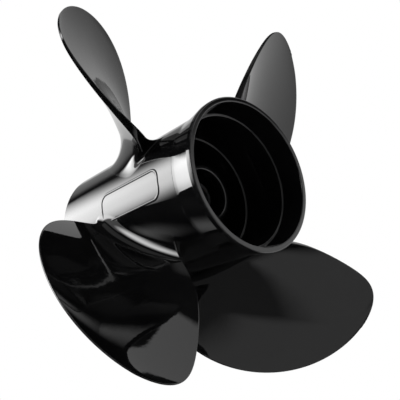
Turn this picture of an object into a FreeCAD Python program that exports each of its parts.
import FreeCAD, Part
import math
import os
import Sketcher

# Four-blade outboard propeller with a through-hub exhaust barrel and a renewable drive hub.
# The shaft axis is Y.  Depths are measured forward (+Y) from the plane of the aft rim, and every
# piece is then moved so that the row's origin is the mouth of the shaft bore.
# Angles about the shaft run from +Z towards +X, which is the way the propeller turns going ahead.

SIZES = {
    # casting: barrel
    "barrel_length": 169.0,
    "rim_radius": 61.6,
    "rim_inner_radius": 57.4,
    "rim_rounding": 1.9,
    "flare_length": 24.0,
    "flare_start": 4.0,
    "barrel_radius_aft": 57.4,
    "barrel_radius_front": 54.8,
    "mouth_radius": 54.0,
    "mouth_depth": 17.5,
    "mouth_step": 1.2,
    "throat_radius": 48.6,
    "throat_depth": 53.0,
    "throat_step": 1.4,
    "throat_front": 150.0,
    "front_recess_radius": 50.8,
    # casting: inner hub and its webs
    "hub_aft": 49.5,
    "hub_front": 152.0,
    "hub_ring_radius": 19.8,
    "hub_ring_outer": 23.4,
    "hub_shoulder_depth": 62.0,
    "hub_outer_radius": 30.0,
    "hub_rounding": 1.6,
    "recess_front": 86.0,
    "hub_bore_radius": 25.5,
    "web_count": 4,
    "web_thickness": 7.0,
    "web_aft_long": 51.0,
    "web_aft_short": 76.0,
    "web_front": 148.0,
    # casting: blades
    "blade_count": 4,
    "blade_angle": 45.0,
    "tip_radius": 177.8,
    "blade_root_radius": 52.4,
    "pitch": 518.0,
    "root_half_chord": 33.0,
    "chord_rise": 143.8,
    "chord_fall": -171.3,
    "chord_tail": 85.5,
    "tip_fullness": 3.4,
    "blade_depth": 90.9,
    "rake_linear": -37.9,
    "rake_square": -3.9,
    "rake_cube": -22.5,
    "skew_linear": -16.0,
    "skew_square": 18.3,
    "skew_cube": -22.8,
    "trailing_thickness": 6.6,
    "trailing_thinning": 0.7,
    "trailing_cup": 0.4,
    "leading_thickness": 2.0,
    "root_bulge": 6.0,
    "bulge_fading": 0.7,
    "aft_fullness": 0.45,
    "aft_fullness_end": 0.5,
    "face_camber": 3.0,
    "camber_half_chord": 65.0,
    "pressure_fillet": 13.0,
    "suction_fillet": 20.0,
    "end_fillet": 5.0,
    "foot_rise": 1.0,
    # drive hub kit
    "key_count": 4,
    "key_width": 9.0,
    "key_height": 2.6,
    "key_side_gap": 0.2,
    "key_top_gap": 0.2,
    "sleeve_radius": 25.3,
    "sleeve_bore": 19.6,
    "sleeve_aft": 86.0,
    "sleeve_front": 151.2,
    "slot_height": 3.4,
    "slot_width": 14.5,
    "slot_run_in": 3.0,
    "adapter_radius": 19.2,
    "adapter_aft": 88.0,
    "adapter_front": 152.6,
    "rib_height": 3.0,
    "rib_width": 8.0,
    "rib_inset": 2.0,
    "spline_count": 15,
    "spline_minor_radius": 11.6,
    "spline_major_radius": 12.7,
    "spline_width": 2.5,
    "pilot_radius": 12.75,
    "pilot_length": 14.0,
    "thrust_radius": 28.5,
    "thrust_thickness": 6.4,
    "thrust_boss_radius": 20.5,
    "thrust_front": 166.0,
    "thrust_bore_radius": 13.6,
    "thrust_taper_radius": 16.4,
    "spacer_radius": 18.8,
    "spacer_bore": 13.2,
    "spacer_aft": 80.0,
    "tab_thickness": 1.6,
    "tab_length": 8.0,
    "tab_width": 7.0,
    "tab_count": 3,
    "tab_gap": 0.1,
    "tab_overlap": 0.2,
    "washer_thread_gap": 0.3,
    "nut_flats": 27.0,
    "nut_length": 15.0,
    "nut_collar_radius": 12.4,
    "nut_collar_length": 4.5,
    "thread_radius": 9.53,
    "insert_bore": 9.2,
    "insert_wall": 1.2,
    "insert_lip": 1.0,
    # how far cutting and joining shapes run past the faces they meet
    "run_out": 1.0,
}


class Size:
    """A length with its number and the spreadsheet formula that gives it."""

    def __init__(self, number, formula):
        self.number = number
        self.formula = formula

    def __add__(self, other):
        other = as_size(other)
        return Size(self.number + other.number, f"({self.formula} + {other.formula})")

    def __sub__(self, other):
        other = as_size(other)
        return Size(self.number - other.number, f"({self.formula} - {other.formula})")

    def __mul__(self, other):
        other = as_size(other)
        return Size(self.number * other.number, f"{self.formula} * {other.formula}")

    def __truediv__(self, other):
        other = as_size(other)
        return Size(self.number / other.number, f"{self.formula} / {other.formula}")


def as_size(value):
    if isinstance(value, Size):
        return value
    return Size(float(value), str(value))


doc = FreeCAD.newDocument("Propeller")
sheet = doc.addObject("Spreadsheet::Sheet", "sizes")
for row, (alias, value) in enumerate(SIZES.items(), start=1):
    sheet.set(f"A{row}", alias)
    sheet.set(f"B{row}", str(value))
    sheet.setAlias(f"B{row}", alias)
doc.recompute()


def size(alias):
    return Size(float(sheet.get(alias)), f"sizes.{alias}")


def number(alias):
    return float(sheet.get(alias))


# How finely the blade's curves are taken: stations in the root fillet and over the span, steps
# over the chord, and how far below the wall the foot starts.  The powers say how late along the
# chord the root fillet gives way to the smaller fillet at the blade's ends.
FOOT_DEPTHS = (5.0, 2.5)
FILLET_STATIONS = 6
SPAN_STATIONS = 16
LAST_STATION_SHARE = 0.975
CHORD_STEPS = 16
LEADING_FOOT_POWER = 4
TRAILING_FOOT_POWER = 10

ORIGIN_DEPTH = size("adapter_front")
SHAFT_AXIS = FreeCAD.Vector(0, 1, 0)
ALONG_SHAFT = FreeCAD.Rotation(FreeCAD.Vector(1, 0, 0), -90)
pieces = []


def finish_piece(piece, label, angle=0.0):
    """Name a piece, turn it about the shaft and move it so that the shaft bore's mouth is the origin."""
    piece.Label = label
    piece.Placement = FreeCAD.Placement(
        FreeCAD.Vector(0, -ORIGIN_DEPTH.number, 0), FreeCAD.Rotation(SHAFT_AXIS, angle)
    )
    piece.setExpression("Placement.Base.y", f"-{ORIGIN_DEPTH.formula}")
    pieces.append(piece)
    return piece


def origin_plane(body, role):
    return next(item for item in body.Origin.OriginFeatures if item.Role == role)


def fix_point(sketch, line, end, across, up):
    """Hold one end of a line at (across, up) from the sketch's origin, bound to the sheet."""
    for kind, value in (("DistanceX", across), ("DistanceY", up)):
        if value.number == 0:
            axis = -2 if kind == "DistanceX" else -1
            sketch.addConstraint(Sketcher.Constraint("PointOnObject", line, end, axis))
            continue
        index = sketch.addConstraint(Sketcher.Constraint(kind, -1, 1, line, end, value.number))
        sketch.setExpression(f"Constraints[{index}]", value.formula)


def closed_sketch(body, name, plane, corners, offset=None):
    """A closed outline of straight lines with every corner bound to the sheet."""
    sketch = body.newObject("Sketcher::SketchObject", name)
    sketch.AttachmentSupport = [(origin_plane(body, plane), "")]
    sketch.MapMode = "FlatFace"
    if offset is not None:
        sketch.setExpression("AttachmentOffset.Base.z", f"-({offset.formula})")
    points = [FreeCAD.Vector(across.number, up.number, 0) for across, up in corners]
    for index, start in enumerate(points):
        end = points[(index + 1) % len(points)]
        sketch.addGeometry(Part.LineSegment(start, end), False)
    for index in range(len(points)):
        following = (index + 1) % len(points)
        sketch.addConstraint(Sketcher.Constraint("Coincident", index, 2, following, 1))
    for index, (across, up) in enumerate(corners):
        fix_point(sketch, index, 1, across, up)
    return sketch


def turned_body(name, corners):
    """A body turned about the shaft from (radius, depth) corners."""
    body = doc.addObject("PartDesign::Body", name)
    profile = closed_sketch(body, f"{name}_profile", "XY_Plane", corners)
    turn = body.newObject("PartDesign::Revolution", f"{name}_turn")
    turn.Profile = profile
    turn.ReferenceAxis = (profile, ["V_Axis"])
    turn.Angle = 360
    doc.recompute()
    body.Tip = turn
    return body


def round_edges(body, name, radius, circles):
    """Round the circular edges at the given (radius, depth) places."""
    base = body.Tip
    chosen = []
    for index, edge in enumerate(base.Shape.Edges, start=1):
        if not isinstance(edge.Curve, Part.Circle):
            continue
        for ring_radius, depth in circles:
            near_radius = abs(edge.Curve.Radius - ring_radius.number) < 0.01
            near_depth = abs(edge.Curve.Center.y - depth.number) < 0.01
            if near_radius and near_depth:
                chosen.append(f"Edge{index}")
    fillet = body.newObject("PartDesign::Fillet", name)
    fillet.Base = (base, chosen)
    fillet.setExpression("Radius", radius.formula)
    doc.recompute()
    body.Tip = fillet


def rectangle(low, high, half_width):
    """Corners of a rectangle that stands on a radius, from low to high, on the sketch's up axis."""
    zero = as_size(0)
    return [
        (zero - half_width, low),
        (half_width, low),
        (half_width, high),
        (zero - half_width, high),
    ]


def ring_of_features(body, name, feature, count):
    """Repeat a feature evenly about the shaft."""
    pattern = body.newObject("PartDesign::PolarPattern", name)
    pattern.Originals = [feature]
    pattern.Axis = (next(item for item in body.Origin.OriginFeatures if item.Role == "Y_Axis"), [""])
    pattern.Angle = 360
    body.Tip = pattern
    pattern.setExpression("Occurrences", count.formula)
    doc.recompute()


def ring_of_ribs(body, name, low, high, width, start, end, count):
    sketch = closed_sketch(body, f"{name}_sketch", "XZ_Plane", rectangle(low, high, width / 2), start)
    rib = body.newObject("PartDesign::Pad", name)
    rib.Profile = sketch
    rib.Reversed = True
    rib.setExpression("Length", (end - start).formula)
    doc.recompute()
    body.Tip = rib
    ring_of_features(body, f"{name}_ring", rib, count)


def ring_of_slots(body, name, low, high, width, start, end, count):
    sketch = closed_sketch(body, f"{name}_sketch", "XZ_Plane", rectangle(low, high, width / 2), start)
    slot = body.newObject("PartDesign::Pocket", name)
    slot.Profile = sketch
    slot.setExpression("Length", (end - start).formula)
    doc.recompute()
    body.Tip = slot
    ring_of_features(body, f"{name}_ring", slot, count)


# ---- barrel ----------------------------------------------------------------------------------

def make_barrel():
    rim = size("rim_radius")
    start = size("flare_start")
    step = size("throat_step")
    corners = [
        (size("rim_inner_radius"), as_size(0)),
        (rim, as_size(0)),
        (rim, start),
        (size("barrel_radius_aft"), size("flare_length")),
        (size("barrel_radius_front"), size("barrel_length")),
        (size("front_recess_radius"), size("barrel_length")),
        (size("front_recess_radius"), size("throat_front")),
        (size("throat_radius") - step, size("throat_front") - step),
        (size("throat_radius") - step, size("throat_depth") + step),
        (size("throat_radius"), size("throat_depth")),
        (size("mouth_radius") - size("mouth_step"), size("mouth_depth") + size("mouth_step")),
        (size("mouth_radius"), size("mouth_depth")),
    ]
    barrel = turned_body("Barrel", corners)
    lip = [(rim, as_size(0)), (size("rim_inner_radius"), as_size(0)), (rim, start)]
    round_edges(barrel, "LipRounding", size("rim_rounding"), lip)
    return finish_piece(barrel, "barrel")


# ---- inner hub and webs ----------------------------------------------------------------------

def make_inner_hub():
    aft = size("hub_aft")
    corners = [
        (size("hub_ring_radius"), aft),
        (size("hub_ring_outer"), aft),
        (size("hub_outer_radius"), size("hub_shoulder_depth")),
        (size("hub_outer_radius"), size("hub_front")),
        (size("hub_bore_radius"), size("hub_front")),
        (size("hub_bore_radius"), size("recess_front")),
        (size("hub_ring_radius"), size("recess_front")),
    ]
    hub = turned_body("InnerHub", corners)
    ring_of_slots(
        hub,
        "KeyGroove",
        size("hub_bore_radius") - size("run_out"),
        size("sleeve_radius") + size("key_height") + size("key_top_gap"),
        size("key_width") + size("key_side_gap") * 2,
        size("recess_front"),
        size("hub_front") + size("run_out"),
        size("key_count"),
    )
    ring = [(size("hub_ring_radius"), aft), (size("hub_ring_outer"), aft)]
    round_edges(hub, "RingRounding", size("hub_rounding"), ring)
    return finish_piece(hub, "inner_hub", number("blade_angle"))


def barrel_inside():
    """A solid that fills the barrel's throat, so that webs end exactly on its wall."""
    radius = number("throat_radius") - number("throat_step")
    return Part.makeCylinder(radius, number("barrel_length"), FreeCAD.Vector(0, 0, 0), SHAFT_AXIS)


def inner_hub_outside():
    """The solid inside the inner hub's outer surface: a cone behind, a cylinder in front."""
    ring = number("hub_ring_outer")
    radius = number("hub_outer_radius")
    aft = number("hub_aft")
    shoulder = number("hub_shoulder_depth")
    cone = Part.makeCone(ring, radius, shoulder - aft, FreeCAD.Vector(0, aft, 0), SHAFT_AXIS)
    length = number("barrel_length") - shoulder
    drum = Part.makeCylinder(radius, length, FreeCAD.Vector(0, shoulder, 0), SHAFT_AXIS)
    return cone.fuse(drum)


def make_webs():
    names = ("web_upper_starboard", "web_lower_starboard", "web_lower_port", "web_upper_port")
    hub = inner_hub_outside()
    for index, name in enumerate(names):
        aft = number("web_aft_short") if index % 2 == 0 else number("web_aft_long")
        thickness = number("web_thickness")
        plate = Part.makeBox(
            thickness,
            number("web_front") - aft,
            number("throat_radius"),
            FreeCAD.Vector(-thickness / 2, aft, 0),
        )
        web = doc.addObject("Part::Feature", name)
        web.Shape = plate.common(barrel_inside()).cut(hub)
        finish_piece(web, name, number("blade_angle") + index * 360 / number("web_count"))


# ---- blades ----------------------------------------------------------------------------------

def blade_half_chord(t):
    """Half the chord along the helix at a share t of the way from root to tip."""
    width = number("root_half_chord")
    width += number("chord_rise") * t
    width += number("chord_fall") * t ** 2
    width += number("chord_tail") * t ** 3
    return width * math.sqrt(max(1 - t ** number("tip_fullness"), 0))


def blade_middle(t):
    """Angle about the shaft, in degrees, and depth of the middle of the chord."""
    angle = number("skew_linear") * t + number("skew_square") * t ** 2 + number("skew_cube") * t ** 3
    depth = number("blade_depth") + number("rake_linear") * t
    depth += number("rake_square") * t ** 2 + number("rake_cube") * t ** 3
    return angle, depth


def fillet_spread(height, fillet):
    """How far a face stands out at this height over the barrel, to meet it in a round fillet."""
    left = min(max(fillet - height, 0), fillet)
    return fillet - math.sqrt(fillet ** 2 - left ** 2)


def blade_point(radius, chord_share, side):
    """A point of the blade: chord_share -1 is the trailing edge, 1 the leading edge; side 0 or 1."""
    root = number("blade_root_radius")
    t = max((radius - root) / (number("tip_radius") - root), 0)
    height = radius - number("barrel_radius_front") - number("foot_rise")
    half_chord = blade_half_chord(t)
    angle, depth = blade_middle(t)
    hump = 1 - chord_share ** 2
    forward_share = (1 + chord_share) / 2
    trailing = number("trailing_thickness") * (1 - number("trailing_thinning") * t)
    edge = trailing * (1 - forward_share) + number("leading_thickness") * forward_share
    bulge = number("root_bulge") * max(1 - t, 0) ** number("bulge_fading")
    fullness = hump
    if chord_share < 0:
        fading = max(1 - t / number("aft_fullness_end"), 0)
        fullness += number("aft_fullness") * fading * chord_share ** 2
    camber = number("face_camber") * half_chord / number("camber_half_chord")
    pressure = camber * hump - number("trailing_cup") * edge
    end_spread = fillet_spread(height, number("end_fillet"))
    if side:
        face_spread = fillet_spread(height, number("suction_fillet"))
    else:
        face_spread = fillet_spread(height, number("pressure_fillet"))
    spread = face_spread
    if chord_share > 0:
        spread += (end_spread - face_spread) * chord_share ** LEADING_FOOT_POWER
    elif side:
        spread += (end_spread - face_spread) * chord_share ** TRAILING_FOOT_POWER
    if side:
        offset = pressure + edge + bulge * fullness + spread
    else:
        offset = pressure - spread
    along = chord_share * (half_chord + end_spread)
    slope = math.atan2(number("pitch"), 2 * math.pi * radius)
    turn = math.radians(angle) + (along * math.cos(slope) - offset * math.sin(slope)) / radius
    forward = depth + along * math.sin(slope) + offset * math.cos(slope)
    return FreeCAD.Vector(radius * math.sin(turn), forward, radius * math.cos(turn))


def blade_stations():
    """Radii of the blade's sections: close together in the root fillet and towards the tip."""
    wall = number("barrel_radius_front") + number("foot_rise")
    fillet = number("suction_fillet")
    radii = [wall - depth for depth in FOOT_DEPTHS]
    for index in range(1, FILLET_STATIONS + 1):
        share = index / (FILLET_STATIONS + 0.5)
        radii.append(wall + fillet * share ** 2)
    start = wall + fillet
    for index in range(SPAN_STATIONS + 1):
        share = LAST_STATION_SHARE * index / SPAN_STATIONS
        radii.append(start + (number("tip_radius") - start) * (1 - (1 - share) ** 2))
    return radii


def fitted_face(rows):
    surface = Part.BSplineSurface()
    surface.interpolate(rows)
    return surface


def raw_blade():
    """One blade as a closed solid that starts inside the barrel's wall."""
    shares = [-math.cos(math.pi * index / CHORD_STEPS) for index in range(CHORD_STEPS + 1)]
    sides = []
    for side in (0, 1):
        rows = [[blade_point(radius, share, side) for share in shares] for radius in blade_stations()]
        sides.append(fitted_face(rows))
    pressure, suction = sides
    faces = [pressure.toShape(), suction.toShape()]
    for pick in ("uIso", "vIso"):
        for end in (0, 1):
            edges = []
            for surface in sides:
                bounds = surface.bounds()
                value = bounds[end] if pick == "uIso" else bounds[2 + end]
                edges.append(getattr(surface, pick)(value).toShape())
            faces.append(Part.makeRuledSurface(edges[0], edges[1]))
    shell = Part.makeShell(faces)
    shell.sewShape()
    solid = Part.makeSolid(shell)
    if solid.Volume < 0:
        solid.reverse()
    return solid


def barrel_core():
    """The solid inside the barrel's outer surface, which blades are trimmed to."""
    start = number("flare_length")
    return Part.makeCone(
        number("barrel_radius_aft"),
        number("barrel_radius_front"),
        number("barrel_length") - start,
        FreeCAD.Vector(0, start, 0),
        SHAFT_AXIS,
    )


def make_blades():
    names = ("blade_upper_starboard", "blade_lower_starboard", "blade_lower_port", "blade_upper_port")
    shape = raw_blade().cut(barrel_core())
    shape = max(shape.Solids, key=lambda solid: solid.Volume)
    for index, name in enumerate(names):
        blade = doc.addObject("Part::Feature", name)
        blade.Shape = shape
        finish_piece(blade, name, number("blade_angle") + index * 360 / number("blade_count"))


# ---- drive hub kit ---------------------------------------------------------------------------

def make_drive_sleeve():
    outer = size("sleeve_radius")
    bore = size("sleeve_bore")
    aft = size("sleeve_aft")
    front = size("sleeve_front")
    sleeve = turned_body("DriveSleeve", [(bore, aft), (outer, aft), (outer, front), (bore, front)])
    count = size("key_count")
    top = outer + size("key_height")
    past = size("run_out")
    ring_of_ribs(sleeve, "Key", outer - past, top, size("key_width"), aft, front, count)
    slot_low = bore - size("slot_run_in")
    slot_top = bore + size("slot_height")
    ring_of_slots(
        sleeve, "Slot", slot_low, slot_top, size("slot_width"), aft - past, front + past, count
    )
    return finish_piece(sleeve, "drive_sleeve", number("blade_angle"))


def make_splined_adapter():
    outer = size("adapter_radius")
    minor = size("spline_minor_radius")
    aft = size("adapter_aft")
    front = size("adapter_front")
    pilot_start = front - size("pilot_length")
    corners = [
        (minor, aft),
        (outer, aft),
        (outer, front),
        (size("pilot_radius"), front),
        (size("pilot_radius"), pilot_start),
        (minor, pilot_start),
    ]
    adapter = turned_body("SplinedAdapter", corners)
    past = size("run_out")
    ring_of_slots(
        adapter,
        "SplineSpace",
        minor - past,
        size("spline_major_radius"),
        size("spline_width"),
        aft - past,
        pilot_start + past,
        size("spline_count"),
    )
    rib_start = aft + size("rib_inset")
    rib_end = size("sleeve_front") - size("rib_inset")
    top = outer + size("rib_height")
    ring_of_ribs(
        adapter, "Rib", outer - past, top, size("rib_width"), rib_start, rib_end, size("key_count")
    )
    return finish_piece(adapter, "splined_adapter", number("blade_angle"))


def make_thrust_hub():
    seat = size("adapter_front")
    shoulder = seat + size("thrust_thickness")
    front = size("thrust_front")
    corners = [
        (size("thrust_bore_radius"), seat),
        (size("thrust_radius"), seat),
        (size("thrust_radius"), shoulder),
        (size("thrust_boss_radius"), shoulder),
        (size("thrust_boss_radius"), front),
        (size("thrust_taper_radius"), front),
        (size("thrust_bore_radius"), shoulder),
    ]
    return finish_piece(turned_body("ThrustHub", corners), "thrust_hub")


def make_rear_spacer():
    aft = size("spacer_aft")
    front = size("adapter_aft")
    corners = [
        (size("spacer_bore"), aft),
        (size("spacer_radius"), aft),
        (size("spacer_radius"), front),
        (size("spacer_bore"), front),
    ]
    return finish_piece(turned_body("RearSpacer", corners), "rear_spacer")


def make_tab_washer():
    front = size("spacer_aft")
    aft = front - size("tab_thickness")
    bore = size("thread_radius") + size("washer_thread_gap")
    corners = [
        (bore, aft),
        (size("spacer_radius"), aft),
        (size("spacer_radius"), front),
        (bore, front),
    ]
    washer = turned_body("TabWasher", corners)
    tab_low = size("nut_flats") / 2 + size("tab_gap")
    ring_of_ribs(
        washer,
        "Tab",
        tab_low,
        tab_low + size("tab_thickness"),
        size("tab_width"),
        aft - size("tab_length"),
        aft + size("tab_overlap"),
        size("tab_count"),
    )
    return finish_piece(washer, "tab_washer")


def nut_end(depth_size):
    return FreeCAD.Placement(FreeCAD.Vector(0, depth_size.number, 0), ALONG_SHAFT)


def make_nut_and_insert():
    front = size("spacer_aft") - size("tab_thickness")
    aft = front - size("nut_length")
    collar_aft = aft - size("nut_collar_length")
    hexagon = doc.addObject("Part::Prism", "NutHexagon")
    hexagon.Polygon = 6
    hexagon.setExpression("Circumradius", "sizes.nut_flats / 2 / cos(30 deg)")
    hexagon.setExpression("Height", "sizes.nut_length")
    hexagon.Placement = nut_end(aft)
    collar = doc.addObject("Part::Cylinder", "NutCollar")
    collar.setExpression("Radius", "sizes.nut_collar_radius")
    collar.setExpression("Height", "sizes.nut_collar_length")
    collar.Placement = nut_end(collar_aft)
    blank = doc.addObject("Part::Fuse", "NutBlank")
    blank.Base = hexagon
    blank.Tool = collar
    thread = doc.addObject("Part::Cylinder", "NutThread")
    thread.setExpression("Radius", "sizes.thread_radius")
    thread.setExpression("Height", "sizes.nut_length + sizes.nut_collar_length")
    thread.Placement = nut_end(collar_aft)
    bored = doc.addObject("Part::Cut", "NutBored")
    bored.Base = blank
    bored.Tool = thread
    seat = doc.addObject("Part::Cylinder", "NutInsertSeat")
    seat.setExpression("Radius", "sizes.nut_collar_radius - sizes.insert_wall")
    seat.setExpression("Height", "sizes.nut_collar_length - sizes.insert_lip")
    seat.Placement = nut_end(collar_aft + size("insert_lip"))
    nut = doc.addObject("Part::Cut", "PropNut")
    nut.Base = bored
    nut.Tool = seat
    finish_piece(nut, "prop_nut")

    start = collar_aft + size("insert_lip")
    radius = size("nut_collar_radius") - size("insert_wall")
    corners = [
        (size("insert_bore"), start),
        (radius, start),
        (radius, aft),
        (size("insert_bore"), aft),
    ]
    finish_piece(turned_body("NutInsert", corners), "nut_locking_insert")


make_barrel()
make_inner_hub()
make_webs()
make_blades()
make_drive_sleeve()
make_splined_adapter()
make_thrust_hub()
make_rear_spacer()
make_tab_washer()
make_nut_and_insert()
doc.recompute()

for item in doc.Objects:
    if "Invalid" in item.State or "Error" in item.State:
        raise RuntimeError(f"{item.Name} did not compute: {item.State}")

os.makedirs("parts", exist_ok=True)
for piece in pieces:
    if piece.Shape.isNull() or not piece.Shape.isValid():
        raise RuntimeError(f"{piece.Label} has no valid shape")
    if len(piece.Shape.Solids) != 1:
        raise RuntimeError(f"{piece.Label} is {len(piece.Shape.Solids)} solids")
    piece.Shape.exportStep(f"parts/{piece.Label}.step")
